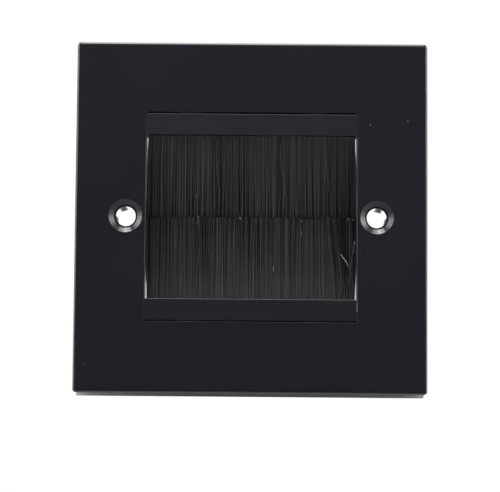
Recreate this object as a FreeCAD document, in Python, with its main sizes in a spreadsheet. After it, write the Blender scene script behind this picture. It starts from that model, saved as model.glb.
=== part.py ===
"""Single-gang wall plate with a brush cable entry.

Millimetres, +Z up, +X to the right of someone who faces the plate. The wall is the plane y = 0 and the front of the
plate faces -Y. The origin lies on the wall, midway between the two fixing holes, which are on the X axis.

"rise" below means the distance from the wall towards the room, so a point at rise r has y = -r.
"""

import FreeCAD, Part
import os
import Sketcher

Vector = FreeCAD.Vector

SIZES = [
    # the plate
    ("plate_back", 86.0, "side of the square where the plate meets the wall"),
    ("plate_front", 84.6, "side of the square where the rounded front edge begins"),
    ("plate_rise", 10.0, "wall to front face"),
    ("front_round", 0.9, "radius round the edge of the front face"),
    ("corner_radius", 0.95, "radius of the four upright corners"),
    ("front_wall", 2.4, "thickness of the front of the plate"),
    ("side_wall", 2.0, "thickness of the four sides"),
    ("hollow_corner", 0.5, "radius in the corners of the hollow"),
    # the aperture, and the wall around it that the brush holders snap into
    ("aperture_width", 50.9, "clear width of the aperture"),
    ("aperture_tall", 50.45, "clear height of the aperture"),
    ("aperture_corner", 0.3, "radius in the corners of the aperture"),
    ("aperture_edge", 0.06, "radius that takes the sharpness off the front edge of the aperture"),
    ("surround", 1.4, "thickness of the wall around the aperture"),
    ("surround_rise", 2.2, "rise of the rear end of that wall"),
    ("window_across", 7.0, "snap window, along X"),
    ("window_low", 3.6, "rise of the rear edge of the snap windows"),
    ("window_high", 5.4, "rise of the front edge of the snap windows"),
    ("snap_at", 15.0, "snap windows and catches, from the middle"),
    # fixing
    ("screw_spacing", 60.3, "distance between the two fixing holes"),
    ("screw_hole", 4.7, "diameter of the fixing holes"),
    ("sink_across", 8.0, "diameter of the countersinks"),
    ("sink_angle", 106.0, "angle of the countersinks"),
    ("sink_lip", 1.2, "radius that leads each countersink into its hole"),
    ("boss_across", 9.2, "diameter of the screw bosses"),
    ("boss_rise", 0.3, "rise of the rear end of the bosses"),
    # stiffening ribs and ejector marks behind the front
    ("rib", 1.2, "thickness of the ribs"),
    ("rib_deep", 2.6, "depth of the ribs behind the front wall"),
    ("rib_at", 17.0, "ribs, from the middle"),
    ("mark_across", 4.2, "diameter of the ejector marks"),
    ("mark_deep", 0.18, "depth of the ejector marks"),
    ("mark_at", 34.2, "ejector marks, from the middle"),
    # the two brush holders
    ("holder_length", 50.7, "length of a holder's bar"),
    ("holder_gap", 0.25, "gap between a bar and the aperture above or below it"),
    ("holder_inner", 19.75, "height of the edge that the filaments leave"),
    ("bar_front_outer", 9.88, "rise of the bar's front at its outer edge"),
    ("bar_front_inner", 10.0, "rise of the bar's front at its inner edge"),
    ("bar_round", 0.35, "radius on the bar's outer front edge"),
    ("bar_inner_round", 0.2, "radius on the front edge that the filaments leave"),
    ("slot_front", 8.25, "rise of the slot's front wall"),
    ("slot_rear", 5.15, "rise of the slot's rear wall"),
    ("slot_top", 23.8, "height of the slot's closed end"),
    ("lip_tall", 0.5, "height of the two lips at the slot's mouth"),
    ("mouth_front", 7.95, "rise of the front lip's edge"),
    ("mouth_rear", 5.45, "rise of the rear lip's edge"),
    ("rear_wall", 3.65, "rise of the back of the slot's rear wall"),
    ("flange_rise", 1.0, "rise of the back of the flange"),
    ("flange_low", 23.1, "height of the flange's inner edge"),
    ("flange_high", 26.6, "height of the flange's outer edge"),
    ("flange_length", 53.2, "length of the flange"),
    ("flange_corner", 0.6, "radius of the flange's corners"),
    ("catch_across", 6.0, "length of a snap catch"),
    ("catch_tall", 0.7, "height of a snap catch"),
    ("catch_low", 3.8, "rise of the upright face of a catch"),
    ("catch_high", 5.2, "rise of the foot of its ramp"),
    # the strip brush in each holder
    ("brush_rise", 6.7, "rise of the middle plane of the brush"),
    ("strip_length", 50.1, "length of the folded strip and the core wire"),
    ("strip_outer", 1.5, "half the width of the folded strip"),
    ("strip_thick", 0.45, "thickness of the strip"),
    ("strip_centre", 22.2, "height of the axis that the strip is folded about"),
    ("strip_mouth", 20.28, "height of the strip's open edges"),
    ("wire_across", 0.9, "diameter of the core wire"),
    ("tuft_length", 50.1, "length of the row of filaments"),
    ("tuft_tip", 0.05, "height where the filaments end, above the middle"),
    ("tuft_free", 18.6, "height at which the tuft, clear of the bar, starts to lean back"),
    ("tuft_bend", 13.5, "height at which it has nearly finished leaning back"),
    ("bend_front", 7.45, "rise of the tuft's front at that height"),
    ("bend_rear", 5.34, "rise of its rear at that height"),
    ("tip_front", 7.4, "rise of the tuft's front at its tips"),
    ("tip_rear", 5.2, "rise of its rear at its tips"),
]
VALUE = {alias: value for alias, value, words in SIZES}

doc = FreeCAD.newDocument("brush_wall_plate")
sheet = doc.addObject("Spreadsheet::Sheet", "dims")
sheet.Label = "dims"
for row, (alias, value, words) in enumerate(SIZES, start=1):
    sheet.set("A%d" % row, words)
    sheet.set("B%d" % row, "%g" % value)
    sheet.setAlias("B%d" % row, alias)
doc.recompute()


def size(*terms):
    """A length as a sum of cells: its value now, and its expression. A term is a cell's name, or a factor and a name."""
    pairs = [(1.0, t) if isinstance(t, str) else t for t in terms]
    value = sum(k * VALUE[name] for k, name in pairs)
    return value, " + ".join("%g * dims.%s" % (k, name) for k, name in pairs)


def less(length):
    """The same length the other way."""
    value, text = length
    return -value, "-1 * (%s)" % text


def bind(thing, prop, length):
    """Sets a property and ties it to the sheet."""
    setattr(thing, prop, length[0])
    thing.setExpression(prop, length[1])


# ---------------------------------------------------------------- sketches

def sketch_on(body, name, role, offset=None):
    """A sketch on one of the body's own origin planes, moved along the plane's normal by offset."""
    sketch = body.newObject("Sketcher::SketchObject", name)
    plane = [f for f in body.Origin.OriginFeatures if f.Role == role][0]
    sketch.AttachmentSupport = [(plane, "")]
    sketch.MapMode = "FlatFace"
    if offset is not None:
        sketch.AttachmentOffset = FreeCAD.Placement(Vector(0, 0, offset[0]), FreeCAD.Rotation())
        sketch.setExpression("AttachmentOffset.Base.z", offset[1])
    return sketch


def outline(sketch, corners):
    """A closed outline of straight lines through corners, each tied to the sheet in both directions."""
    first, n = sketch.GeometryCount, len(corners)
    for i in range(n):
        (x0, _), (y0, _) = corners[i]
        (x1, _), (y1, _) = corners[(i + 1) % n]
        sketch.addGeometry(Part.LineSegment(Vector(x0, y0, 0), Vector(x1, y1, 0)), False)
    for i in range(n):
        sketch.addConstraint(Sketcher.Constraint("Coincident", first + i, 2, first + (i + 1) % n, 1))
    for i, (x, y) in enumerate(corners):
        for way, (value, text) in (("DistanceX", x), ("DistanceY", y)):
            c = sketch.addConstraint(Sketcher.Constraint(way, -1, 1, first + i, 1, value))
            sketch.setExpression("Constraints[%d]" % c, text)


def rectangle(sketch, x0, x1, y0, y1):
    outline(sketch, [(x0, y0), (x1, y0), (x1, y1), (x0, y1)])


def circle(sketch, x, y, across):
    """A circle. x or y may be None for a centre on that axis."""
    cx, cy = (0.0 if c is None else c[0] for c in (x, y))
    g = sketch.addGeometry(Part.Circle(Vector(cx, cy, 0), Vector(0, 0, 1), across[0] / 2), False)
    for way, c, axis in (("DistanceX", x, -2), ("DistanceY", y, -1)):
        if c is None:
            sketch.addConstraint(Sketcher.Constraint("PointOnObject", g, 3, axis))
        else:
            k = sketch.addConstraint(Sketcher.Constraint(way, -1, 1, g, 3, c[0]))
            sketch.setExpression("Constraints[%d]" % k, c[1])
    k = sketch.addConstraint(Sketcher.Constraint("Diameter", g, across[0]))
    sketch.setExpression("Constraints[%d]" % k, across[1])


# ---------------------------------------------------------------- features

def feature(body, kind, name, sketch, length, both_ways=False, reverse=False):
    """A pad or a pocket of a sketch."""
    f = body.newObject("PartDesign::" + kind, name)
    f.Profile = sketch
    f.SideType = "Symmetric" if both_ways else "One side"
    f.Reversed = reverse
    bind(f, "Length", length)
    return f


def loft(body, kind, name, sketches):
    f = body.newObject("PartDesign::" + kind, name)
    f.Profile = sketches[0]
    f.Sections = sketches[1:]
    f.Ruled = True
    return f


def edges_of(thing, wanted):
    """The names of the edges whose two ends both pass a test."""
    doc.recompute()
    return [
        "Edge%d" % (i + 1)
        for i, e in enumerate(thing.Shape.Edges)
        if e.Vertexes and all(wanted(v.Point) for v in e.Vertexes) and wanted(e.valueAt((e.FirstParameter + e.LastParameter) / 2))
    ]


def dress(body, kind, name, base, edges, length):
    """A fillet or a chamfer on edges of base."""
    f = body.newObject("PartDesign::" + kind, name)
    f.Base = (base, edges)
    bind(f, "Radius" if kind == "Fillet" else "Size", length)
    return f


def removed(before, after):
    """How much material a cut took away; the cut points the wrong way if it took none."""
    doc.recompute()
    took = before.Shape.Volume - after.Shape.Volume
    if took <= 1e-3:
        raise RuntimeError(after.Name + " cut nothing")
    return took


def near(value, target, by=0.02):
    return abs(value - target) < by


# ---------------------------------------------------------------- faceplate

def make_faceplate():
    body = doc.addObject("PartDesign::Body", "faceplate")
    body.Label = "faceplate"
    rise = size("plate_rise")

    # the drafted block: its sides lean in from the wall to the rounded front edge, and on to the front
    lean = "(dims.plate_back - dims.plate_front) / 2 / (dims.plate_rise - dims.front_round)"
    slope = (VALUE["plate_back"] - VALUE["plate_front"]) / 2 / (VALUE["plate_rise"] - VALUE["front_round"])
    half_back = size((0.5, "plate_back"))
    half_front = (half_back[0] - slope * rise[0], "dims.plate_back / 2 - dims.plate_rise * (%s)" % lean)
    at_wall = sketch_on(body, "outline_at_wall", "XZ_Plane")
    rectangle(at_wall, less(half_back), half_back, less(half_back), half_back)
    at_front = sketch_on(body, "outline_at_front", "XZ_Plane", rise)
    rectangle(at_front, less(half_front), half_front, less(half_front), half_front)
    block = loft(body, "AdditiveLoft", "block", [at_wall, at_front])
    near_corner = lambda p: min(abs(p.x), abs(p.z)) > 41
    corners = dress(body, "Fillet", "upright_corners", block, edges_of(block, near_corner), size("corner_radius"))
    front_y = -VALUE["plate_rise"]
    rim = edges_of(corners, lambda p: near(p.y, front_y) and max(abs(p.x), abs(p.z)) > 40)
    softened = dress(body, "Fillet", "front_edge", corners, rim, size("front_round"))

    # the hollow behind, with sides of even thickness
    floor = size("plate_rise", (-1, "front_wall"))
    half_open = size((0.5, "plate_back"), (-1, "side_wall"))
    half_floor = (half_open[0] - slope * floor[0],
                  "dims.plate_back / 2 - dims.side_wall - (dims.plate_rise - dims.front_wall) * (%s)" % lean)
    hollow_open = sketch_on(body, "hollow_at_wall", "XZ_Plane")
    rectangle(hollow_open, less(half_open), half_open, less(half_open), half_open)
    hollow_floor = sketch_on(body, "hollow_floor", "XZ_Plane", floor)
    rectangle(hollow_floor, less(half_floor), half_floor, less(half_floor), half_floor)
    hollow = loft(body, "SubtractiveLoft", "hollow", [hollow_open, hollow_floor])
    removed(softened, hollow)
    in_corner = lambda p: near(abs(p.x), abs(p.z), 0.01) and 38 < abs(p.x) < half_open[0] + 0.01
    hollow_round = dress(body, "Fillet", "hollow_corners", hollow, edges_of(hollow, in_corner), size("hollow_corner"))

    # the surround, the bosses and the ribs stand on the back of the front wall and run a little into it
    half_w = size((0.5, "aperture_width"))
    half_t = size((0.5, "aperture_tall"))
    out_w = size((0.5, "aperture_width"), "surround")
    out_t = size((0.5, "aperture_tall"), "surround")
    surround_sketch = sketch_on(body, "surround_outline", "XZ_Plane", size("surround_rise"))
    rectangle(surround_sketch, less(out_w), out_w, less(out_t), out_t)
    feature(body, "Pad", "surround_block", surround_sketch,
            size("plate_rise", (-0.5, "front_wall"), (-1, "surround_rise")))
    boss_sketch = sketch_on(body, "boss_outline", "XZ_Plane", size("boss_rise"))
    half_spacing = size((0.5, "screw_spacing"))
    circle(boss_sketch, half_spacing, None, size("boss_across"))
    circle(boss_sketch, less(half_spacing), None, size("boss_across"))
    feature(body, "Pad", "screw_bosses", boss_sketch, size("plate_rise", (-0.5, "front_wall"), (-1, "boss_rise")))
    rib_low = size("plate_rise", (-1, "front_wall"), (-1, "rib_deep"))
    rib_sketch = sketch_on(body, "rib_outlines", "XZ_Plane", rib_low)
    reach = size((0.5, "plate_back"), (-1, "side_wall"), (0.25, "side_wall"))
    for side in (1, -1):
        turn = (lambda c: c) if side > 0 else less
        for at in (1, -1):
            lo = size((at, "rib_at"), (-0.5, "rib"))
            hi = size((at, "rib_at"), (0.5, "rib"))
            start_t = size((0.5, "aperture_tall"), (0.5, "surround"))
            start_w = size((0.5, "aperture_width"), (0.5, "surround"))
            a, b = sorted((turn(start_t), turn(reach)), key=lambda c: c[0])
            rectangle(rib_sketch, lo, hi, a, b)
            a, b = sorted((turn(start_w), turn(reach)), key=lambda c: c[0])
            rectangle(rib_sketch, a, b, lo, hi)
        a, b = sorted((turn(half_spacing), turn(reach)), key=lambda c: c[0])
        rectangle(rib_sketch, a, b, size((-0.5, "rib")), size((0.5, "rib")))
    ribs = feature(body, "Pad", "ribs", rib_sketch, size("rib_deep", (0.5, "front_wall")))

    # the aperture goes right through, and its front edge is barely rounded
    hole_sketch = sketch_on(body, "aperture_outline", "XZ_Plane", rise)
    rectangle(hole_sketch, less(half_w), half_w, less(half_t), half_t)
    aperture = feature(body, "Pocket", "aperture", hole_sketch, rise)
    removed(ribs, aperture)
    hw, ht = half_w[0], half_t[0]
    in_aperture = lambda p: near(abs(p.x), hw) and near(abs(p.z), ht)
    aperture_round = dress(body, "Fillet", "aperture_corners", aperture, edges_of(aperture, in_aperture),
                           size("aperture_corner"))
    front_edge = lambda p: near(p.y, front_y) and abs(p.x) < hw + 0.1 and abs(p.z) < ht + 0.1
    aperture_rim = dress(body, "Fillet", "aperture_rim", aperture_round, edges_of(aperture_round, front_edge),
                         size("aperture_edge"))

    # two snap windows in the wall above and below the aperture, cut outwards from just inside it
    inside = size((0.5, "aperture_tall"), (-0.5, "surround"))
    window_sketch = sketch_on(body, "window_outlines", "XY_Plane", inside)
    for at in (1, -1):
        rectangle(window_sketch, size((at, "snap_at"), (-0.5, "window_across")),
                  size((at, "snap_at"), (0.5, "window_across")),
                  size((-1, "window_high")), size((-1, "window_low")))
    windows = feature(body, "Pocket", "upper_windows", window_sketch, size((2, "surround")), reverse=True)
    removed(aperture_rim, windows)
    both = body.newObject("PartDesign::Mirrored", "lower_windows")
    both.Originals = [windows]
    both.MirrorPlane = ([f for f in body.Origin.OriginFeatures if f.Role == "XY_Plane"][0], [""])
    body.Tip = both
    removed(windows, both)

    # round marks of the ejector pins on the back of the front wall
    mark_sketch = sketch_on(body, "ejector_outlines", "XZ_Plane", floor)
    at = size("mark_at")
    for x, z in ((at, at), (less(at), at), (at, less(at)), (less(at), less(at)), (None, at), (None, less(at))):
        circle(mark_sketch, x, z, size("mark_across"))
    marks = feature(body, "Pocket", "ejector_marks", mark_sketch, size("mark_deep"), reverse=True)
    removed(both, marks)

    # the fixing holes, countersunk from the front
    drill_sketch = sketch_on(body, "screw_centres", "XZ_Plane", rise)
    circle(drill_sketch, half_spacing, None, size("screw_hole"))
    circle(drill_sketch, less(half_spacing), None, size("screw_hole"))
    doc.recompute()
    holes = body.newObject("PartDesign::Hole", "screw_holes")
    holes.Profile = drill_sketch
    holes.DepthType = "ThroughAll"
    holes.ThreadType = "None"
    bind(holes, "Diameter", size("screw_hole"))
    holes.HoleCutType = "Countersink"
    holes.HoleCutCustomValues = True
    bind(holes, "HoleCutDiameter", size("sink_across"))
    bind(holes, "HoleCutCountersinkAngle", size("sink_angle"))
    removed(marks, holes)
    spacing, bore = VALUE["screw_spacing"] / 2, VALUE["screw_hole"] / 2
    at_lip = lambda p: near(((abs(p.x) - spacing) ** 2 + p.z ** 2) ** 0.5, bore) and p.y < -VALUE["plate_rise"] / 2
    lips = dress(body, "Fillet", "sink_lips", holes, edges_of(holes, at_lip), size("sink_lip"))
    doc.recompute()
    body.Tip = lips
    return body


# ---------------------------------------------------------------- brush holder

def up_from_rise(alias, factor=1.0):
    """The Y coordinate of a rise."""
    return size((-factor, alias))


def make_holder(name):
    """The upper holder. Its slot opens downwards; the lower one is the same moulding turned half round."""
    body = doc.addObject("PartDesign::Body", name)
    body.Label = name
    top = size((0.5, "aperture_tall"), (-1, "holder_gap"))
    inner = size("holder_inner")
    lip = size("holder_inner", "lip_tall")
    y = up_from_rise
    section = sketch_on(body, name + "_section", "YZ_Plane")
    outline(section, [
        (y("bar_front_outer"), top),
        (y("surround_rise"), top),
        (y("surround_rise"), size("slot_top")),
        (y("rear_wall"), size("slot_top")),
        (y("rear_wall"), inner),
        (y("mouth_rear"), inner),
        (y("mouth_rear"), lip),
        (y("slot_rear"), lip),
        (y("slot_rear"), size("slot_top")),
        (y("slot_front"), size("slot_top")),
        (y("slot_front"), lip),
        (y("mouth_front"), lip),
        (y("mouth_front"), inner),
        (y("bar_front_inner"), inner),
    ])
    bar = feature(body, "Pad", name + "_bar", section, size("holder_length"), both_ways=True)
    base = bar
    for word, level, radius in (("outer", top[0], "bar_round"), ("inner", inner[0], "bar_inner_round")):
        edge = edges_of(base, lambda p: p.y < -VALUE["bar_front_outer"] + 0.02 and near(p.z, level))
        edge = [n for n in edge if base.Shape.Edges[int(n[4:]) - 1].Length > 40]
        base = dress(body, "Fillet", "%s_%s_round" % (name, word), base, edge, size(radius))

    # the flange behind stops the bar against the rear end of the surround
    flange_sketch = sketch_on(body, name + "_flange_outline", "XZ_Plane", size("flange_rise"))
    half = size((0.5, "flange_length"))
    rectangle(flange_sketch, less(half), half, size("flange_low"), size("flange_high"))
    flange = feature(body, "Pad", name + "_flange", flange_sketch, size("surround_rise", (-1, "flange_rise")))
    hl = half[0]
    corner = lambda p: near(abs(p.x), hl)
    upright = edges_of(flange, corner)
    doc.recompute()
    upright = [n for n in upright
               if near(flange.Shape.Edges[int(n[4:]) - 1].Length, VALUE["surround_rise"] - VALUE["flange_rise"], 0.01)]
    flange_round = dress(body, "Fillet", name + "_flange_corners", flange, upright, size("flange_corner"))

    # two catches: a ramp that faces the room, and an upright face that bears on the window's rear edge
    for side, word in ((1, "right"), (-1, "left")):
        ramp = sketch_on(body, name + "_" + word + "_catch_section", "YZ_Plane", size((side, "snap_at")))
        below = size((0.5, "aperture_tall"), (-1, "holder_gap"), (-0.5, "catch_tall"))
        peak = size((0.5, "aperture_tall"), (-1, "holder_gap"), "catch_tall")
        outline(ramp, [(y("catch_high"), below), (y("catch_low"), below), (y("catch_low"), peak),
                       (size((-0.8, "catch_low"), (-0.2, "catch_high")), peak), (y("catch_high"), top)])
        feature(body, "Pad", name + "_" + word + "_catch", ramp, size("catch_across"), both_ways=True)
    return body


# ---------------------------------------------------------------- strip brush

def make_strip(name):
    """The folded strip: a long U of sheet metal that opens downwards."""
    body = doc.addObject("PartDesign::Body", name)
    body.Label = name
    mid = size((-1, "brush_rise"))
    section = sketch_on(body, name + "_section", "YZ_Plane")
    low, crown = size("strip_mouth"), size("strip_centre", "strip_outer")
    inner_crown = size("strip_centre", "strip_outer", (-1, "strip_thick"))
    out_a, out_b = size((-1, "brush_rise"), (-1, "strip_outer")), size((-1, "brush_rise"), "strip_outer")
    in_a = size((-1, "brush_rise"), (-1, "strip_outer"), "strip_thick")
    in_b = size((-1, "brush_rise"), "strip_outer", (-1, "strip_thick"))
    outline(section, [(out_a, low), (out_a, crown), (out_b, crown), (out_b, low),
                      (in_b, low), (in_b, inner_crown), (in_a, inner_crown), (in_a, low)])
    bar = feature(body, "Pad", name + "_fold", section, size("strip_length"), both_ways=True)
    outer = edges_of(bar, lambda p: near(p.z, crown[0]))
    doc.recompute()
    outer = [n for n in outer if bar.Shape.Edges[int(n[4:]) - 1].Length > 40]
    # a hair under half the width, so that a narrow flat is left on the fold
    outside = dress(body, "Fillet", name + "_outer_bend", bar, outer, size((0.96, "strip_outer")))
    inner = edges_of(outside, lambda p: near(p.z, inner_crown[0]))
    inner = [n for n in inner if outside.Shape.Edges[int(n[4:]) - 1].Length > 40]
    dress(body, "Fillet", name + "_inner_bend", outside, inner,
          size((0.96, "strip_outer"), (-0.96, "strip_thick")))
    return body


def make_wire(name):
    """The straight core wire, on the strip's axis."""
    body = doc.addObject("PartDesign::Body", name)
    body.Label = name
    section = sketch_on(body, name + "_section", "YZ_Plane")
    circle(section, size((-1, "brush_rise")), size("strip_centre"), size("wire_across"))
    feature(body, "Pad", name + "_rod", section, size("strip_length"), both_ways=True)
    return body


def make_tuft(name):
    """The filaments as one block: doubled over the wire, straight through the mouth, then leaning back to the tips."""
    body = doc.addObject("PartDesign::Body", name)
    body.Label = name
    section = sketch_on(body, name + "_section", "YZ_Plane")
    half = size("strip_outer", (-1, "strip_thick"))
    a = size((-1, "brush_rise"), (-1, "strip_outer"), "strip_thick")
    b = size((-1, "brush_rise"), "strip_outer", (-1, "strip_thick"))
    free, bend_at, tip = size("tuft_free"), size("tuft_bend"), size("tuft_tip")
    crown = size("strip_centre", "strip_outer", (-1, "strip_thick"))
    outline(section, [(a, crown), (b, crown), (b, free), (size((-1, "bend_rear")), bend_at), (size((-1, "tip_rear")), tip),
                      (size((-1, "tip_front")), tip), (size((-1, "bend_front")), bend_at), (a, free)])
    block = feature(body, "Pad", name + "_block", section, size("tuft_length"), both_ways=True)
    bend = edges_of(block, lambda p: near(p.z, crown[0]))
    doc.recompute()
    bend = [n for n in bend if block.Shape.Edges[int(n[4:]) - 1].Length > 40]
    bent = dress(body, "Fillet", name + "_bend", block, bend, size((0.96, "strip_outer"), (-0.96, "strip_thick")))
    eye = sketch_on(body, name + "_eye_outline", "YZ_Plane")
    circle(eye, size((-1, "brush_rise")), size("strip_centre"), size("wire_across"))
    hole = feature(body, "Pocket", name + "_eye", eye, size("strip_length"), both_ways=True)
    removed(bent, hole)
    return body


# ---------------------------------------------------------------- assembly

half_turn = FreeCAD.Placement(Vector(0, 0, 0), FreeCAD.Rotation(Vector(0, 1, 0), 180))
bodies = [make_faceplate()]
for place, placement in (("upper", FreeCAD.Placement()), ("lower", half_turn)):
    for make, what in ((make_holder, "brush_holder"), (make_strip, "brush_channel"), (make_wire, "core_wire"),
                       (make_tuft, "bristles")):
        body = make(place + "_" + what)
        body.Placement = placement
        bodies.append(body)

doc.recompute()
for thing in doc.Objects:
    if "Invalid" in thing.State or "Error" in thing.State:
        raise RuntimeError("%s failed: %s" % (thing.Name, thing.State))
for body in bodies:
    if body.Shape.isNull() or not body.Shape.isValid() or len(body.Shape.Solids) != 1:
        raise RuntimeError("%s is not one valid solid" % body.Label)

os.makedirs("parts", exist_ok=True)
for body in bodies:
    body.Shape.exportStep(os.path.join("parts", body.Label + ".step"))
    box = body.Shape.BoundBox
    print("%-22s %9.1f mm3  x %.2f..%.2f  y %.2f..%.2f  z %.2f..%.2f" % (
        body.Label, body.Shape.Volume, box.XMin, box.XMax, box.YMin, box.YMax, box.ZMin, box.ZMax))
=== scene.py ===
import math

import bpy
import numpy as np
from mathutils import Matrix, Vector


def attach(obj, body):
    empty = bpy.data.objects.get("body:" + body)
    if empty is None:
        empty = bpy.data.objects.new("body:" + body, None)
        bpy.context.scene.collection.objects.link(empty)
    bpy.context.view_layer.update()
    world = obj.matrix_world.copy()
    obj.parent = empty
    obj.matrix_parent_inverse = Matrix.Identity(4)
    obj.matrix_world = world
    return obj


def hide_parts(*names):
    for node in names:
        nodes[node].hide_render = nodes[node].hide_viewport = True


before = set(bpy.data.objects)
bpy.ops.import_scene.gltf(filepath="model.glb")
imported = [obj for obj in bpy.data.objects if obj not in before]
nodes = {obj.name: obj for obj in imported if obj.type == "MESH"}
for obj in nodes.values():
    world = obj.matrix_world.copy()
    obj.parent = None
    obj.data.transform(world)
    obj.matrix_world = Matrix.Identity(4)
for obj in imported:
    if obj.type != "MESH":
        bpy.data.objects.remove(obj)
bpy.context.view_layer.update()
scene = bpy.context.scene
MM = 0.001


# ---------------------------------------------------------------- node helpers
class Tree:
    """Small wrapper that keeps node building readable."""

    def __init__(self, tree):
        self.tree = tree
        tree.nodes.clear()

    def add(self, kind, **values):
        node = self.tree.nodes.new(kind)
        for key, value in values.items():
            setattr(node, key, value)
        return node

    def link(self, out, socket):
        self.tree.links.new(out, socket)

    def put(self, socket, value):
        if isinstance(value, bpy.types.NodeSocket):
            self.link(value, socket)
        else:
            socket.default_value = value

    def math(self, op, a, b=None, c=None, clamp=False):
        node = self.add("ShaderNodeMath", operation=op, use_clamp=clamp)
        for i, value in enumerate((a, b, c)):
            if value is not None:
                self.put(node.inputs[i], value)
        return node.outputs[0]

    def noise(self, vector, scale, detail=2.0, rough=0.5):
        node = self.add("ShaderNodeTexNoise")
        self.link(vector, node.inputs["Vector"])
        node.inputs["Scale"].default_value = scale
        node.inputs["Detail"].default_value = detail
        node.inputs["Roughness"].default_value = rough
        return node.outputs["Fac"]

    def band(self, value, lo, hi, out_lo=0.0, out_hi=1.0, smooth=True):
        node = self.add("ShaderNodeMapRange")
        node.interpolation_type = "SMOOTHSTEP" if smooth else "LINEAR"
        self.put(node.inputs["Value"], value)
        node.inputs["From Min"].default_value = lo
        node.inputs["From Max"].default_value = hi
        node.inputs["To Min"].default_value = out_lo
        node.inputs["To Max"].default_value = out_hi
        return node.outputs["Result"]

    def ramp(self, fac, stops, mode="LINEAR"):
        node = self.add("ShaderNodeValToRGB")
        node.color_ramp.interpolation = mode
        e = node.color_ramp.elements
        while len(e) > 1:
            e.remove(e[-1])
        for i, (pos, col) in enumerate(stops):
            item = e[0] if i == 0 else e.new(pos)
            item.position = pos
            item.color = col if len(col) == 4 else (*col, 1.0)
        self.link(fac, node.inputs["Fac"])
        return node.outputs["Color"]


def new_material(name):
    m = bpy.data.materials.new(name)
    m.use_nodes = True
    t = Tree(m.node_tree)
    out = t.add("ShaderNodeOutputMaterial")
    bsdf = t.add("ShaderNodeBsdfPrincipled")
    t.link(bsdf.outputs["BSDF"], out.inputs["Surface"])
    coord = t.add("ShaderNodeTexCoord").outputs["Object"]
    return m, t, bsdf, coord


def bump(t, bsdf, height, distance, strength=1.0):
    node = t.add("ShaderNodeBump")
    node.inputs["Strength"].default_value = strength
    node.inputs["Distance"].default_value = distance
    t.link(height, node.inputs["Height"])
    t.link(node.outputs["Normal"], bsdf.inputs["Normal"])


def xyz(t, coord):
    s = t.add("ShaderNodeSeparateXYZ")
    t.link(coord, s.inputs[0])
    return s.outputs["X"], s.outputs["Y"], s.outputs["Z"]


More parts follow.
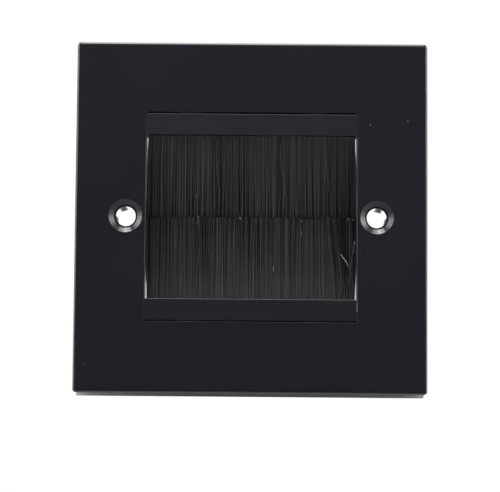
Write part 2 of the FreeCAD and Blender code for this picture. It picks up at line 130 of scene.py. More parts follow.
# ---------------------------------------------------------------- plastics
def plate_material():
    """Satin black moulding: fine spark-eroded grain on the face, polished bevels and countersinks."""
    m, t, bsdf, coord = new_material("plate_plastic_black")
    x, y, z = xyz(t, coord)
    cloud = t.noise(coord, 38.0, 3.0, 0.55)
    patch = t.noise(coord, 190.0, 2.0, 0.5)
    grain = t.noise(coord, 2600.0, 2.5, 0.6)
    fine = t.noise(coord, 7000.0, 1.0, 0.5)
    # distance from the nearer hole axis, in metres
    dx = t.math("SUBTRACT", t.math("ABSOLUTE", x), 0.03015)
    r = t.math("SQRT", t.math("ADD", t.math("MULTIPLY", dx, dx), t.math("MULTIPLY", z, z)))
    in_sink = t.band(r, 0.00396, 0.00405, 1.0, 0.0)
    front = t.band(y, -0.009960, -0.009995, 0.0, 1.0)         # 1 on the flat face, 0 from its rounded edge back
    face = t.math("MULTIPLY", front, t.math("SUBTRACT", 1.0, in_sink), clamp=True)
    tone = t.math("ADD", t.math("MULTIPLY", cloud, 0.55), t.math("MULTIPLY", patch, 0.25))
    tone = t.math("ADD", tone, t.math("MULTIPLY", grain, 0.20))
    colour = t.ramp(tone, [(0.30, (0.0040, 0.0040, 0.0076)), (0.50, (0.0049, 0.0049, 0.0089)),
                           (0.72, (0.0059, 0.0059, 0.0104))])
    # sparse dust: small pale grains lying on the surface
    flat = t.add("ShaderNodeCombineXYZ")
    t.link(x, flat.inputs["X"])
    t.link(z, flat.inputs["Y"])
    vor = t.add("ShaderNodeTexVoronoi", feature="F1", voronoi_dimensions="2D")
    t.link(flat.outputs[0], vor.inputs["Vector"])
    vor.inputs["Scale"].default_value = 105.0
    vor.inputs["Randomness"].default_value = 1.0
    ragged = t.math("ADD", vor.outputs["Distance"], t.math("MULTIPLY", t.math("SUBTRACT", grain, 0.5), 0.02))
    near = t.band(ragged, 0.008, 0.015, 1.0, 0.0)
    pick = t.add("ShaderNodeSeparateColor")
    t.link(vor.outputs["Color"], pick.inputs[0])
    speck = t.math("MULTIPLY", near, t.band(pick.outputs[0], 0.80, 0.96, 0.0, 1.0, smooth=False))
    speck = t.math("MULTIPLY", speck, face)
    # painted highlight: the two side walls of the aperture are painted paler, standing in for the light their edges
    # catch, and are made rougher
    wall_highlight_mask = t.band(t.math("ABSOLUTE", t.math("SUBTRACT", t.math("ABSOLUTE", x), 0.02545)), 0.00006, 0.00008, 1.0, 0.0)
    wall_highlight_mask = t.math("MULTIPLY", wall_highlight_mask, t.band(y, -0.009985, -0.009960, 0.0, 1.0))
    wall_highlight_mask = t.math("MULTIPLY", wall_highlight_mask, t.band(t.math("ABSOLUTE", z), 0.02500, 0.02530, 1.0, 0.0))
    wall_highlight_mix = t.add("ShaderNodeMix", data_type="RGBA")
    t.link(t.math("MULTIPLY", wall_highlight_mask, t.band(patch, 0.30, 0.60, 0.75, 1.0)), wall_highlight_mix.inputs["Factor"])
    t.link(colour, wall_highlight_mix.inputs["A"])
    wall_highlight_mix.inputs["B"].default_value = (0.064, 0.064, 0.070, 1.0)
    colour = wall_highlight_mix.outputs["Result"]
    mix = t.add("ShaderNodeMix", data_type="RGBA")
    t.link(t.math("MULTIPLY", speck, 0.9), mix.inputs["Factor"])
    t.link(colour, mix.inputs["A"])
    mix.inputs["B"].default_value = (0.20, 0.20, 0.205, 1.0)
    t.link(mix.outputs["Result"], bsdf.inputs["Base Color"])
    polished = t.math("ADD", t.math("MULTIPLY", in_sink, -0.08), 0.18)
    rough = t.math("ADD", polished, t.math("MULTIPLY", face, 0.16))
    uneven = t.math("ADD", t.math("MULTIPLY", t.math("SUBTRACT", cloud, 0.5), 0.06),
                    t.math("MULTIPLY", t.math("SUBTRACT", grain, 0.5), 0.10))
    rough = t.math("ADD", rough, t.math("MULTIPLY", uneven, t.math("ADD", t.math("MULTIPLY", face, 0.75), 0.25)))
    rough = t.math("ADD", rough, t.math("MULTIPLY", wall_highlight_mask, 0.42))
    t.link(rough, bsdf.inputs["Roughness"])
    bsdf.inputs["IOR"].default_value = 1.5
    h = t.math("ADD", t.math("MULTIPLY", grain, 1.0), t.math("MULTIPLY", fine, 0.5))
    h = t.math("MULTIPLY", h, t.math("ADD", t.math("MULTIPLY", face, 0.95), 0.05))
    bump(t, bsdf, h, 0.000012, 0.55)
    return m


def holder_material(name, base):
    """Separately moulded bar: a little smoother and paler than the plate. base is its mean colour; the two bars get a
    paler and a darker base, painted light and shade.
    """
    m, t, bsdf, coord = new_material(name)
    cloud = t.noise(coord, 60.0, 3.0, 0.55)
    stretch = t.add("ShaderNodeMapping")
    stretch.inputs["Scale"].default_value = (0.12, 1.0, 1.0)
    t.link(coord, stretch.inputs["Vector"])
    flow = t.noise(stretch.outputs["Vector"], 900.0, 2.0, 0.5)
    grain = t.noise(coord, 3200.0, 2.0, 0.55)
    tone = t.math("ADD", t.math("MULTIPLY", cloud, 0.6), t.math("MULTIPLY", flow, 0.4))
    colour = t.ramp(tone, [(pos, tuple(c * k for c in base)) for pos, k in ((0.30, 0.86), (0.50, 1.0), (0.72, 1.15))])
    t.link(colour, bsdf.inputs["Base Color"])
    rough = t.math("ADD", 0.36, t.math("MULTIPLY", t.math("SUBTRACT", cloud, 0.5), 0.08))
    rough = t.math("ADD", rough, t.math("MULTIPLY", t.math("SUBTRACT", flow, 0.5), 0.08))
    t.link(rough, bsdf.inputs["Roughness"])
    bsdf.inputs["IOR"].default_value = 1.5
    h = t.math("ADD", t.math("MULTIPLY", grain, 0.7), t.math("MULTIPLY", flow, 0.3))
    bump(t, bsdf, h, 0.000010, 0.45)
    return m


# ---------------------------------------------------------------- metals
def channel_material():
    """Bright zinc on rolled steel strip: rolling lines along the length, faint spangle."""
    m, t, bsdf, coord = new_material("channel_zinc")
    stretch = t.add("ShaderNodeMapping")
    stretch.inputs["Scale"].default_value = (0.03, 1.0, 1.0)
    t.link(coord, stretch.inputs["Vector"])
    lines = t.noise(stretch.outputs["Vector"], 5200.0, 3.0, 0.6)
    spangle = t.noise(coord, 420.0, 2.0, 0.5)
    tone = t.math("ADD", t.math("MULTIPLY", lines, 0.5), t.math("MULTIPLY", spangle, 0.5))
    colour = t.ramp(tone, [(0.30, (0.36, 0.37, 0.38)), (0.50, (0.45, 0.46, 0.47)), (0.75, (0.53, 0.54, 0.55))])
    t.link(colour, bsdf.inputs["Base Color"])
    bsdf.inputs["Metallic"].default_value = 1.0
    rough = t.math("ADD", 0.24, t.math("MULTIPLY", lines, 0.16))
    t.link(rough, bsdf.inputs["Roughness"])
    bump(t, bsdf, lines, 0.000006, 0.6)
    return m


def wire_material():
    """Drawn steel wire: die lines along the wire."""
    m, t, bsdf, coord = new_material("core_wire_steel")
    stretch = t.add("ShaderNodeMapping")
    stretch.inputs["Scale"].default_value = (0.02, 1.0, 1.0)
    t.link(coord, stretch.inputs["Vector"])
    lines = t.noise(stretch.outputs["Vector"], 9000.0, 2.0, 0.5)
    colour = t.ramp(lines, [(0.30, (0.31, 0.31, 0.32)), (0.70, (0.46, 0.46, 0.47))])
    t.link(colour, bsdf.inputs["Base Color"])
    bsdf.inputs["Metallic"].default_value = 1.0
    rough = t.math("ADD", 0.26, t.math("MULTIPLY", lines, 0.18))
    t.link(rough, bsdf.inputs["Roughness"])
    bump(t, bsdf, lines, 0.000005, 0.6)
    return m


def filament_material():
    """Black nylon monofilament: each filament a little lighter or darker, glossy, with a finely drawn skin."""
    m, t, bsdf, coord = new_material("filament_nylon_black")
    # the attribute carries each filament's own tone together with painted light and shade along it: pale roots, dark
    # tips, darker ends and rear layers, and pale highlights on a few strays
    att = t.add("ShaderNodeAttribute", attribute_name="strand_tone_and_painted_light", attribute_type="GEOMETRY")
    tone = att.outputs["Fac"]
    along = t.noise(coord, 260.0, 2.0, 0.5)
    mixed = t.math("ADD", t.math("MULTIPLY", tone, 0.8), t.math("MULTIPLY", along, 0.2))
    # the top stop, reached only by a few strays, is pale: a painted highlight on some of them and pale lint on others
    colour = t.ramp(mixed, [(0.02, (0.0030, 0.0030, 0.0042)), (0.20, (0.0078, 0.0080, 0.0105)),
                            (0.45, (0.0128, 0.0131, 0.0170)), (0.80, (0.0220, 0.0222, 0.0265)),
                            (0.93, (0.044, 0.044, 0.047)), (1.00, (0.28, 0.28, 0.28))])
    t.link(colour, bsdf.inputs["Base Color"])
    rough = t.math("ADD", 0.30, t.math("MULTIPLY", tone, 0.14))
    rough = t.math("ADD", rough, t.math("MULTIPLY", along, 0.08))
    # the cut ends carry tone 0: a torn, dull face
    rough = t.math("ADD", rough, t.band(tone, 0.0, 0.10, 0.45, 0.0))
    t.link(rough, bsdf.inputs["Roughness"])
    t.link(t.band(tone, 0.0, 0.30, 0.10, 0.5), bsdf.inputs["Specular IOR Level"])
    bsdf.inputs["IOR"].default_value = 1.53
    skin = t.noise(coord, 9000.0, 1.0, 0.5)
    bump(t, bsdf, skin, 0.000004, 0.4)
    return m


plate_mat = plate_material()
# painted light and shade: the upper bar gets a paler copy of the plastic and the lower bar a darker one, standing in
# for the light from above that falls more on the upper bar
upper_holder_painted_lit_mat = holder_material("black_holder_painted_lit", (0.0083, 0.0078, 0.0119))
lower_holder_painted_shade_mat = holder_material("black_holder_painted_shade", (0.0063, 0.0068, 0.0104))
channel_mat = channel_material()
wire_mat = wire_material()
filament_mat = filament_material()

for name, mat in (("faceplate", plate_mat), ("upper_brush_holder", upper_holder_painted_lit_mat),
                  ("lower_brush_holder", lower_holder_painted_shade_mat),
                  ("upper_brush_channel", channel_mat), ("lower_brush_channel", channel_mat),
                  ("upper_core_wire", wire_mat), ("lower_core_wire", wire_mat)):
    for s in nodes[name].material_slots:
        s.material = mat


# ---------------------------------------------------------------- filaments
SIDES = 6
MID = -6.70                      # middle plane of the brushes, mm
RINGS_Z = (23.05, 22.25, 21.25, 19.55, 16.6, 12.8, 8.8, 4.9, 1.5)   # ring heights above the meeting line, mm


def wave(rng, count, lo, hi):
    """A smooth seeded function of one variable, about -1 to 1: a sum of sines with wavelengths lo..hi mm."""
    k = 2 * np.pi / rng.uniform(lo, hi, count)
    p = rng.uniform(0, 2 * np.pi, count)
    a = rng.uniform(0.5, 1.0, count)
    a /= np.sqrt((a ** 2).sum() / 2) * 1.6
    return lambda x: (a * np.sin(np.multiply.outer(x, k) + p)).sum(-1)


def smooth01(s):
    s = np.clip(s, 0, 1)
    return s * s * (3 - 2 * s)


def tuft(seed, lower):
    """Root places, ring centres and tones of one tuft, with painted light and shade along the filaments, in the upper
    tuft's own frame (z = height above the tips).
    """
    rng = np.random.default_rng(seed)
    rows, cols = 11, 250
    pitch_x = 50.0 / cols
    xs, vs = [], []
    for j in range(rows):
        v = -1 + 2 * (j + 0.5) / rows
        x = -25.0 + pitch_x * (np.arange(cols) + (0.25 if j % 2 else 0.75))
        xs.append(x)
        vs.append(np.full(cols, v))
    x0 = np.concatenate(xs)
    v0 = np.concatenate(vs)
    n = len(x0)
    x0 = np.clip(x0 + rng.normal(0, 0.045, n), -24.94, 24.94)
    v0 = np.clip(v0 + rng.normal(0, 0.045, n), -0.97, 0.97)
    radius = rng.uniform(0.080, 0.095, n)

    # tips: with a slow waviness and uneven ends; the two tufts meet in a surface that falls a little towards the rear
    slow = wave(rng, 5, 5, 22)(x0) * 0.06 + wave(rng, 6, 1.0, 3.2)(x0 + v0 * 2) * 0.05
    fall = (0.18 if lower else -0.18) * (v0 + 0.6)
    tip_z = np.clip(0.02 + slow + fall + rng.normal(0, 0.15, n), -0.45, 0.80)
    short = rng.random(n) < 0.015
    tip_z[short] += rng.uniform(0.3, 1.2, short.sum())

    # clumps: bundles that draw together towards the tips, different for each third of the depth
    layer = np.clip(((v0 + 1) * 1.5).astype(int), 0, 2)
    pull = np.zeros(n)
    for k in range(3):
        edges = [-26.0]
        while edges[-1] < 26.0:
            edges.append(edges[-1] + rng.uniform(0.35, 1.25))
        edges = np.array(edges)
        at = x0 + wave(rng, 4, 2, 7)(v0 * 3 + k) * 0.1
        i = np.clip(np.searchsorted(edges, at) - 1, 0, len(edges) - 2)
        centre = (edges[i] + edges[i + 1]) / 2
        strength = rng.uniform(0.12, 0.52 if lower else 0.62, len(edges))[i]
        on = layer == k
        pull[on] = ((centre - x0) * strength)[on]
    sway_x = wave(rng, 6, 5, 18)(x0) * 0.16 + wave(rng, 8, 0.9, 3.0)(x0 + 0.8 * v0) * 0.10
    sway_y = wave(rng, 6, 3, 12)(x0) * 0.13 + wave(rng, 8, 0.6, 2.0)(x0 + 0.5 * v0) * 0.16
    mid_x = wave(rng, 7, 2.0, 7.0)(x0 + 1.3 * v0) * 0.07
    own_x = rng.normal(0, 0.10, n)
    own_y = rng.normal(0, 0.07, n)
    loose = rng.random(n) < 0.035
    own_x[loose] += rng.normal(0, 0.40, loose.sum())

    # the end filaments bow out to touch the sides of the aperture half way down
    side = np.sign(x0) * smooth01((np.abs(x0) - 22.6) / 2.4)
    lean = np.zeros(n)
    if lower:
        # pushed aside near one end: the front layers lean over and leave a thin place behind them
        g = np.interp(x0, [14.5, 17.0, 20.0, 21.9, 22.7, 23.6, 24.5, 25.0], [0.0, -0.35, -1.25, -2.1, -1.6, -0.5, 0.05, 0.1])
        depth = smooth01((0.45 - v0) / 0.9)
        lean = g * (0.12 + 0.88 * depth)

    z = np.empty((n, len(RINGS_Z) + 2))
    z[:, :-2] = RINGS_Z
    z[:, -2] = tip_z + 0.07
    z[:, -1] = tip_z
    z[:, -3] = np.where(z[:, -3] < tip_z + 0.5, tip_z + 0.5, z[:, -3])
    s = np.clip((19.6 - z) / 19.6, 0, 1)
    s2 = s ** 1.6
    x = x0[:, None] + (pull + own_x)[:, None] * s2 + sway_x[:, None] * s ** 1.3 + mid_x[:, None] * np.sin(np.pi * s)
    left, right = (0.135, 0.085) if lower else (0.03, 0.10)
    start = np.where(x0 < 0, left, right)[:, None]
    bow = smooth01((s - start) / 0.22)
    x = x + (side * (0.30 + 0.09 * v0))[:, None] * bow
    x = x + lean[:, None] * s ** 1.25
    half = 1.05 + 0.06 * smooth01((s - 0.02) / 0.9)          # half depth of the tuft
    back = 0.34 * (1 - np.exp(-np.clip(s - 0.02, 0, None) / 0.14))   # the tuft leans back as it leaves the bar
    y = MID + v0[:, None] * (half - 0.09) + back + (sway_y + own_y)[:, None] * s ** 1.4
    # within the mouth and the folded strip the filaments are packed and pass either side of the wire
    inside = z > 19.4
    packed = MID + v0[:, None] * 0.96
    y = np.where(inside, packed, y)
    beside = (z > 21.9) & (z < 22.6)
    gap = np.where(v0 < 0, -1.0, 1.0)[:, None] * (0.55 + 0.40 * np.abs(v0[:, None]))
    y = np.where(beside, MID + gap, y)
    front_lim = np.where(s > 0, -7.64 - 0.16 * smooth01(s / 0.5), -7.64)
    back_lim = np.where(s > 0, -5.76 + 0.62 * smooth01(s / 0.5), -5.76)
    y = np.clip(y, front_lim, back_lim)
    x = np.clip(x, -25.33, 25.33)
    x = np.where(inside, np.clip(x, -24.95, 24.95), x)

    tone = np.clip(0.42 + 0.17 * rng.normal(0, 1, n) + 0.15 * wave(rng, 9, 0.7, 2.6)(x0 + v0), 0.02, 0.86)
    bright = rng.random(n) < 0.012
    tone[bright] = rng.uniform(0.78, 0.92, bright.sum())
    tone[loose] = np.minimum(tone[loose], 0.28)
    # painted light and shade: paler where the filaments leave the bar, standing in for the light that reaches the
    # roots, and the upper tuft a little darker throughout, a painted shade; dark at the cut ends
    shade = tone[:, None] + np.where(s > 0, (0.70 if lower else 0.52) * np.exp(-s / (0.135 if lower else 0.15)), 0.0)
    shade -= 0.0 if lower else 0.10
    # painted light: the upper tuft's roots paler towards the right
    if not lower:
        shade += (0.15 * np.clip(x0 / 20.0, 0, 1))[:, None] * np.exp(-s / 0.22)
    # painted shade: darker near both ends of the tuft, beside the side walls
    shade -= (0.17 * smooth01((np.abs(x0) - 20.0) / 4.0))[:, None] * smooth01(s / 0.3)
    # painted shade: the rear layers darker
    shade -= (0.07 * (v0 + 1))[:, None] * smooth01(s / 0.5)
    # painted shade: the lower tuft darker towards its tips at the meeting line
    shade[:, -3] *= 0.72 if lower else 1.0
    shade[:, -2] *= 0.25 if lower else 1.0
    shade = np.clip(shade, 0.07, 1.0)
    shade[:, -1] = 0.0
    return x, y, z, radius, v0, shade


def strays(paths):
    """Single filaments that stand off the front of the tuft: tones at root and tip, radius, and (x, y, z) points, mm."""
    xs, ys, zs, tones, radii = [], [], [], [], []
    for root, tip, radius, p in paths:
        p = np.array(p, float)
        d = np.concatenate([[0], np.cumsum(np.linalg.norm(np.diff(p, axis=0), axis=1))])
        q = np.linspace(0, d[-1], len(RINGS_Z) + 2)
        q[-2] = d[-1] - 0.04
        # a smooth curve through the points
        t = np.linspace(0, 1, len(p))
        dd = np.interp(q, d, t)
        coef = [np.polyfit(t, p[:, k], min(len(p) - 1, 3)) for k in range(3)]
        xs.append(np.polyval(coef[0], dd))
        ys.append(np.polyval(coef[1], dd))
        zs.append(np.polyval(coef[2], dd))
        tones.append(np.append(np.linspace(root, tip, len(q) - 1), 0.0))
        radii.append(radius)
    return np.array(xs), np.array(ys), np.array(zs), np.array(radii), np.full(len(paths), -1.0), np.array(tones)


def filament_mesh(name, x, y, z, radius, tone, flip):
    """One mesh of round filaments. Each filament has its own strip in the map OFBake."""
    n, rings = x.shape
    c = np.stack([x, y, z], -1)
    d = np.gradient(c, axis=1)
    d /= np.linalg.norm(d, axis=2, keepdims=True)
    ref = np.array([1.0, 0.0, 0.0])
    u = ref - d * (d @ ref)[..., None]
    u /= np.linalg.norm(u, axis=2, keepdims=True)
    w = np.cross(d, u)
    ang = 2 * np.pi * np.arange(SIDES) / SIDES
    r = np.repeat(radius[:, None], rings, 1)
    r[:, -1] *= 0.40
    ring = (u[:, :, None, :] * np.cos(ang)[None, None, :, None] + w[:, :, None, :] * np.sin(ang)[None, None, :, None])
    p = c[:, :, None, :] + ring * r[:, :, None, None]
    p = p.reshape(-1, 3) * MM
    if flip:                                     # the lower tuft is the upper one turned half round about the Y axis
        p = p * np.array([-1.0, 1.0, -1.0])
    base = (np.arange(n) * rings * SIDES)[:, None, None]
    k = np.arange(rings - 1)[None, :, None] * SIDES
    a = np.arange(SIDES)[None, None, :]
    b = (a + 1) % SIDES
    quad = np.stack(np.broadcast_arrays(base + k + a, base + k + SIDES + a, base + k + SIDES + b, base + k + b), -1)
    quad = quad.reshape(-1, 4)
    start = (np.arange(n) * rings * SIDES)[:, None]
    end = start + (rings - 1) * SIDES
    cap0 = start + np.arange(SIDES)
    cap1 = end + np.arange(SIDES)[::-1]
    loops = np.concatenate([quad.ravel(), cap0.ravel(), cap1.ravel()])
    sizes = np.concatenate([np.full(len(quad), 4), np.full(2 * n, SIDES)])
    starts = np.concatenate([[0], np.cumsum(sizes)[:-1]])
    me = bpy.data.meshes.new(name)
    me.vertices.add(len(p))
    me.vertices.foreach_set("co", p.ravel())
    me.loops.add(len(loops))
    me.loops.foreach_set("vertex_index", loops.astype(np.int32))
    me.polygons.add(len(sizes))
    me.polygons.foreach_set("loop_start", starts.astype(np.int32))
    me.polygons.foreach_set("loop_total", sizes.astype(np.int32))
    me.update(calc_edges=True)
    smooth = np.concatenate([np.ones(len(quad), bool), np.zeros(2 * n, bool)])
    me.polygons.foreach_set("use_smooth", smooth)

    # one strip per filament
    per_row = 128
    n_rows = math.ceil(n / per_row)
    col = (np.arange(n) % per_row)[:, None, None]
    row = (np.arange(n) // per_row)[:, None, None]
    cw, ch = 1.0 / per_row, 1.0 / n_rows
    depth = np.concatenate([np.zeros((n, 1)), np.cumsum(np.linalg.norm(np.diff(c, axis=1), axis=2), axis=1)], 1)
    depth = depth / depth[:, -1:]
    cap_h = 0.03
    body = depth * (1 - 2 * cap_h) + cap_h
    ua = (col + 0.06 + 0.88 * (np.broadcast_to(a, (n, rings - 1, SIDES)) / SIDES)) * cw
    ub = (col + 0.06 + 0.88 * ((np.broadcast_to(a, (n, rings - 1, SIDES)) + 1) / SIDES)) * cw
    va = (row + np.broadcast_to(body[:, :-1, None], ua.shape)) * ch
    vb = (row + np.broadcast_to(body[:, 1:, None], ua.shape)) * ch
    uv_quad = np.stack([np.stack([ua, va], -1), np.stack([ua, vb], -1), np.stack([ub, vb], -1), np.stack([ub, va], -1)], 3)
    uv_quad = uv_quad.reshape(-1, 2)
    hexa = np.stack([0.5 + 0.42 * np.cos(ang), 0.5 + 0.48 * np.sin(ang)], -1)[None]
    c2 = np.array([cw, cap_h * 0.92 * ch])
    o0 = np.concatenate([col[:, 0] * cw, row[:, 0] * ch + 0.0004 * ch], 1)[:, None, :]
    o1 = np.concatenate([col[:, 0] * cw, row[:, 0] * ch + (1 - cap_h * 0.96) * ch], 1)[:, None, :]
    uv0 = (o0 + hexa * c2).reshape(-1, 2)
    uv1 = (o1 + hexa[:, ::-1] * c2).reshape(-1, 2)
    uv = me.uv_layers.new(name="OFBake")
    uv.data.foreach_set("uv", np.concatenate([uv_quad, uv0, uv1]).ravel().astype(np.float32))
    att = me.attributes.new("strand_tone_and_painted_light", "FLOAT", "POINT")
    att.data.foreach_set("value", np.repeat(tone.ravel(), SIDES).astype(np.float32))
    me.materials.append(filament_mat)
    me.validate()
    ob = bpy.data.objects.new(name, me)
    scene.collection.objects.link(ob)
    return ob


def build_tuft(seed, lower, node, prefix, extra):
    x, y, z, radius, v, tone = tuft(seed, lower)
    if extra is not None:
        x, y, z, radius, v, tone = (np.concatenate([p, q]) for p, q in zip((x, y, z, radius, v, tone), extra))
    if lower:
        x = -x                                   # so that filament_mesh can turn it half round
    front = v < np.median(v)
    out = []
    for part, on in (("front", front), ("rear", ~front)):
        ob = filament_mesh(prefix + "_filaments_" + part, x[on], y[on], z[on], radius[on], tone[on], lower)
        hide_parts(node)
        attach(ob, "root")
        out.append(ob)
    return out


# single filaments standing off the front, in the tuft's own heights (0 = meeting line)
upper_strays = [
    (0.80, 0.35, 0.085, [(-8.1, -7.60, 19.5), (-8.4, -7.72, 12.0), (-7.6, -7.80, 5.0), (-8.3, -7.80, 0.6)]),
    (0.80, 0.35, 0.085, [(6.9, -7.60, 19.5), (7.3, -7.72, 12.0), (8.4, -7.80, 5.0), (8.6, -7.78, 0.4)]),
    (0.80, 0.35, 0.085, [(18.3, -7.60, 19.5), (18.0, -7.72, 13.0), (18.9, -7.80, 6.5), (19.1, -7.78, 0.8)]),
    # a cut end that clings to the front
    (1.00, 1.08, 0.075, [(-13.0, -7.86, 5.7), (-13.1, -7.90, 5.4), (-13.2, -7.90, 5.1), (-13.1, -7.88, 4.9)]),
]
lower_strays = [
    # the first two run pale towards their tips: a painted highlight standing in for the glint they catch
    (0.80, 1.13, 0.055, [(24.7, -7.60, 19.5), (24.2, -7.75, 14.0), (22.9, -7.94, 10.5), (21.5, -7.96, 8.7)]),
    (0.80, 1.02, 0.070, [(23.4, -7.60, 19.5), (23.6, -7.72, 14.5), (24.3, -7.90, 9.6), (24.95, -7.90, 5.6)]),
    (0.80, 0.10, 0.085, [(-12.6, -7.60, 19.5), (-12.9, -7.72, 12.0), (-12.2, -7.80, 5.0), (-12.9, -7.80, 0.5)]),
    (0.88, 0.20, 0.085, [(21.9, -7.60, 19.5), (21.6, -7.74, 13.0), (20.6, -7.84, 6.0), (19.9, -7.82, 0.3)]),
    (1.04, 1.14, 0.060, [(5.45, -7.88, 13.0), (5.40, -7.92, 12.6), (5.42, -7.92, 12.1), (5.36, -7.90, 11.7)]),
    # a filament caught between the end of the bar and the side of the aperture, painted pale: a painted highlight
    # standing in for the light line there
    (1.20, 1.20, 0.045, [(25.40, -9.30, 19.6), (25.40, -9.86, 20.3), (25.40, -9.93, 21.4), (25.40, -9.93, 22.7)]),
]
build_tuft(11, False, "upper_bristles", "upper", strays(upper_strays))
build_tuft(29, True, "lower_bristles", "lower", strays(lower_strays))


# ---------------------------------------------------------------- camera
yaw, pitch, roll = -0.00127, 0.08999, 0.00831
fwd = Vector((math.sin(yaw) * math.cos(pitch), math.cos(yaw) * math.cos(pitch), math.sin(pitch)))
right = Vector((math.cos(yaw), -math.sin(yaw), 0.0))
up = right.cross(fwd)
r_axis = right * math.cos(roll) + up * math.sin(roll)
u_axis = up * math.cos(roll) - right * math.sin(roll)
cam_data = bpy.data.cameras.new("camera")
cam_data.sensor_fit = "HORIZONTAL"
cam_data.sensor_width = 36.0
cam_data.lens = 128.564
cam_data.clip_start = 0.01
cam_data.clip_end = 50.0
cam = bpy.data.objects.new("camera", cam_data)
cam.matrix_world = Matrix((
    (r_axis.x, u_axis.x, -fwd.x, 0.00031),
    (r_axis.y, u_axis.y, -fwd.y, -0.43524),
    (r_axis.z, u_axis.z, -fwd.z, -0.04545),
    (0.0, 0.0, 0.0, 1.0)))
scene.collection.objects.link(cam)
scene.camera = cam


# ---------------------------------------------------------------- studio
world = bpy.data.worlds.new("studio")
scene.world = world
world.use_nodes = True
w = Tree(world.node_tree)
w_out = w.add("ShaderNodeOutputWorld")
direction = w.add("ShaderNodeTexCoord").outputs["Generated"]
nrm = w.add("ShaderNodeVectorMath", operation="NORMALIZE")
w.link(direction, nrm.inputs[0])
dx_, dy_, dz_ = xyz(w, nrm.outputs[0])
deg = 180.0 / math.pi
alpha = w.math("MULTIPLY", w.math("ARCTAN2", dx_, dz_), deg)        # 0 overhead, -90 left, +90 right, 180 down
beta = w.math("MULTIPLY", w.math("ARCSINE", dy_), deg)               # + behind the plate, - on the camera's side


def profile(value, points, lo, hi, top):
    """A piecewise curve of value (lo..hi) made of ramp stops, up to top."""
    fac = w.band(value, lo, hi, 0.0, 1.0, smooth=False)
    stops = [((p - lo) / (hi - lo), (q / top,) * 3) for p, q in points]
    col = w.ramp(fac, stops)
    return w.math("MULTIPLY", col, top)


# softboxes around the plate, seen in the plane of the plate: one strip overhead and one box at each side
ring = profile(alpha, [
    (-180, 1.0), (-135, 0.9), (-112, 0.85), (-100, 1.2), (-94, 2.6), (-86, 3.4), (-78, 5.2), (-62, 6.2), (-54, 5.8),
    (-46, 4.0), (-40, 3.4), (-36, 1.3), (-26, 1.2), (-22, 7.5), (-12, 9.3), (-5, 12.5), (0, 11.0), (4, 6.2), (12, 5.2),
    (17, 4.4), (21, 1.6), (30, 0.8), (38, 1.0), (46, 2.8), (54, 4.2), (63, 6.8), (78, 6.0), (87, 3.4), (97, 2.4),
    (110, 1.3), (130, 1.0), (180, 1.05)], -180.0, 180.0, 13.0)
# the overhead strip has a rounded rear end, so it ends a little nearer away from its middle
square = w.math("MULTIPLY", alpha, alpha)
tail = w.math("MULTIPLY", w.math("MULTIPLY", w.math("MINIMUM", square, 36.0), 0.14), w.math("LESS_THAN", square, 600.0))
reach = profile(w.math("ADD", beta, tail), [(-90, 0.0), (-42, 0.0), (-30, 0.25), (-20, 0.8), (-12, 1.0), (9, 1.0),
                                            (14, 0.6), (20, 0.3), (40, 0.1), (90, 0.0)], -90.0, 90.0, 1.0)
# dim room on the camera's side, a little brighter overhead than below
room = profile(beta, [(-90, 1.0), (-30, 0.9), (-5, 0.3), (0, 0.0), (90, 0.0)], -90.0, 90.0, 1.0)
room_level = profile(dz_, [(-1, 0.06), (-0.4, 0.06), (-0.1, 0.07), (0.18, 0.07), (0.28, 0.20), (0.5, 0.38), (1, 0.38)],
                     -1.0, 1.0, 1.0)
# a soft key high behind the plate, which lights its back
elev = w.math("MULTIPLY", w.math("ARCSINE", dz_), deg)
behind = profile(beta, [(-90, 0.0), (10, 0.0), (25, 1.0), (90, 1.0)], -90.0, 90.0, 1.0)
behind_level = profile(elev, [(-90, 0.8), (-45, 0.7), (-32, 0.05), (-4, 0.05), (1, 0.14), (10, 0.16), (17, 0.9), (26, 1.8),
                              (60, 2.4), (90, 2.4)], -90.0, 90.0, 3.0)
level = w.math("ADD", w.math("MULTIPLY", ring, reach), w.math("MULTIPLY", room, room_level))
# the dark place low behind the plate is only as wide as the plate
low = w.math("MULTIPLY", w.band(elev, -30.0, -24.0), w.band(elev, -5.0, -2.0, 1.0, 0.0))
wide = w.band(w.math("ABSOLUTE", dx_), 0.092, 0.105, 0.0, 1.3)
behind_level = w.math("ADD", behind_level, w.math("MULTIPLY", low, wide))
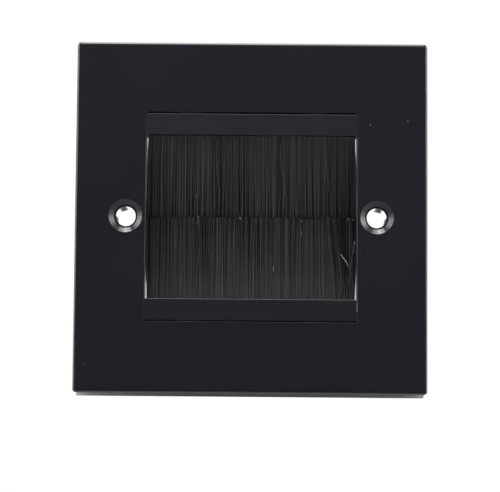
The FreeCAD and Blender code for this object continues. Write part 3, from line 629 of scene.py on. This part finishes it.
# two pale places just under the horizon behind, which the bores of the fixing holes catch
glow = w.math("MULTIPLY", w.band(elev, -7.5, -6.4), w.band(elev, 3.0, 7.0, 1.0, 0.0))
pair = profile(dx_, [(-0.20, 2.2), (-0.115, 2.2), (-0.08, 1.1), (-0.05, 0.5), (-0.03, 0.32), (0.0, 0.32), (0.03, 0.4),
                     (0.06, 0.5), (0.08, 0.6), (0.125, 2.0), (0.20, 2.0)], -0.20, 0.20, 2.2)
behind_level = w.math("ADD", behind_level, w.math("MULTIPLY", glow, pair))
level = w.math("ADD", level, w.math("MULTIPLY", behind, behind_level))
light = w.add("ShaderNodeBackground")
light.inputs["Color"].default_value = (0.985, 0.99, 1.0, 1.0)
w.link(level, light.inputs["Strength"])
plain = w.add("ShaderNodeBackground")
plain.inputs["Color"].default_value = (1.0, 1.0, 1.0, 1.0)
plain.inputs["Strength"].default_value = 1.02
path = w.add("ShaderNodeLightPath")
mix_w = w.add("ShaderNodeMixShader")
w.link(path.outputs["Is Camera Ray"], mix_w.inputs["Fac"])
w.link(light.outputs[0], mix_w.inputs[1])
w.link(plain.outputs[0], mix_w.inputs[2])
w.link(mix_w.outputs[0], w_out.inputs["Surface"])

# pale floor, half a metre below: the plate is held up by its mount
me = bpy.data.meshes.new("floor")
h = 3.0
me.from_pydata([(-h, -h, -0.5), (h, -h, -0.5), (h, h, -0.5), (-h, h, -0.5)], [], [(0, 1, 2, 3)])
floor = bpy.data.objects.new("floor", me)
scene.collection.objects.link(floor)
fm, ft, fb, fcoord = new_material("floor_pale")
fcloud = ft.noise(fcoord, 3.0, 3.0, 0.5)
ft.link(ft.ramp(fcloud, [(0.3, (0.80, 0.80, 0.80)), (0.7, (0.84, 0.84, 0.84))]), fb.inputs["Base Color"])
fb.inputs["Roughness"].default_value = 0.8
me.materials.append(fm)
floor.visible_glossy = False

scene.view_settings.view_transform = "Standard"
scene.view_settings.look = "None"
scene.view_settings.exposure = 0.0
scene.view_settings.gamma = 1.0
